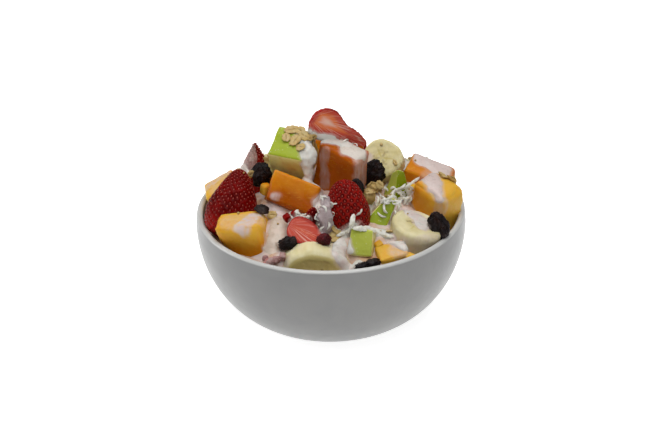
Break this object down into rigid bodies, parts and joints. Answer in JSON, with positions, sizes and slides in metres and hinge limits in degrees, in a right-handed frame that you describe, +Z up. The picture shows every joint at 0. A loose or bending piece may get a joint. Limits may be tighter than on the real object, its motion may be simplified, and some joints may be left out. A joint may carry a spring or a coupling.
{
  "type": "fruit salad in a bowl",
  "caption": "Fruit salad with yogurt heaped in a round white bowl: cut melon, apple, banana, strawberries and raisins with oats and coconut.",
  "frame": {"origin": "centre of the foot ring, on the surface the bowl stands on", "axes": "+Z up along the bowl's axis; -Y towards the side that is seen; +X to the right of it"},
  "size_m": [0.15, 0.15, 0.1222],
  "materials": {
    "white_glaze": "smooth satin-gloss white glaze",
    "yogurt": "thick yogurt, faintly pink from the fruit, wet sheen",
    "melon_flesh": "wet orange cantaloupe flesh, soft cut edges",
    "apple": "green apple skin over pale cream flesh",
    "banana_flesh": "pale cream banana with darker seeds round the middle",
    "strawberry": "deep red wet skin with sunken seeds, pink and white flesh where cut",
    "raisin": "almost black wrinkled dried fruit with a dull sheen",
    "toasted_oats": "rough golden oat flakes stuck in clusters"
  },
  "bodies": {
    "root": {"apple_back_left": "apple", "apple_back_right": "apple", "apple_centre_right": "apple", "apple_crown": "apple", "apple_front": "apple", "apple_right": "apple", "banana_back": "banana_flesh", "banana_back_left": "banana_flesh", "banana_back_rim": "banana_flesh", "banana_front": "banana_flesh", "banana_right": "banana_flesh", "bowl": "white_glaze", "cranberry_front": "raisin", "melon_back": "melon_flesh", "melon_back_high": "melon_flesh", "melon_back_rim": "melon_flesh", "melon_bit_left": "melon_flesh", "melon_crown": "melon_flesh", "melon_front": "melon_flesh", "melon_front_left": "melon_flesh", "melon_left_back": "melon_flesh", "melon_left_rim": "melon_flesh", "melon_mid_left": "melon_flesh", "melon_right": "melon_flesh", "melon_right_back": "melon_flesh", "oats_centre": "toasted_oats", "oats_right": "toasted_oats", "oats_upper": "toasted_oats", "raisin_back": "raisin", "raisin_back_left": "raisin", "raisin_back_right": "raisin", "raisin_back_rim": "raisin", "raisin_big": "raisin", "raisin_centre": "raisin", "raisin_front_a": "raisin", "raisin_front_b": "raisin", "raisin_front_left": "raisin", "raisin_left": "raisin", "raisin_left_low": "raisin", "raisin_right": "raisin", "strawberry_back": "strawberry", "strawberry_back_right": "strawberry", "strawberry_back_rim": "strawberry", "strawberry_between": "strawberry", "strawberry_centre": "strawberry", "strawberry_crown": "strawberry", "strawberry_cut": "strawberry", "strawberry_left": "strawberry", "strawberry_rim_bit": "strawberry", "strawberry_tip_back": "strawberry", "yogurt_and_fruit_bed": "yogurt"}
  },
  "joints": []
}
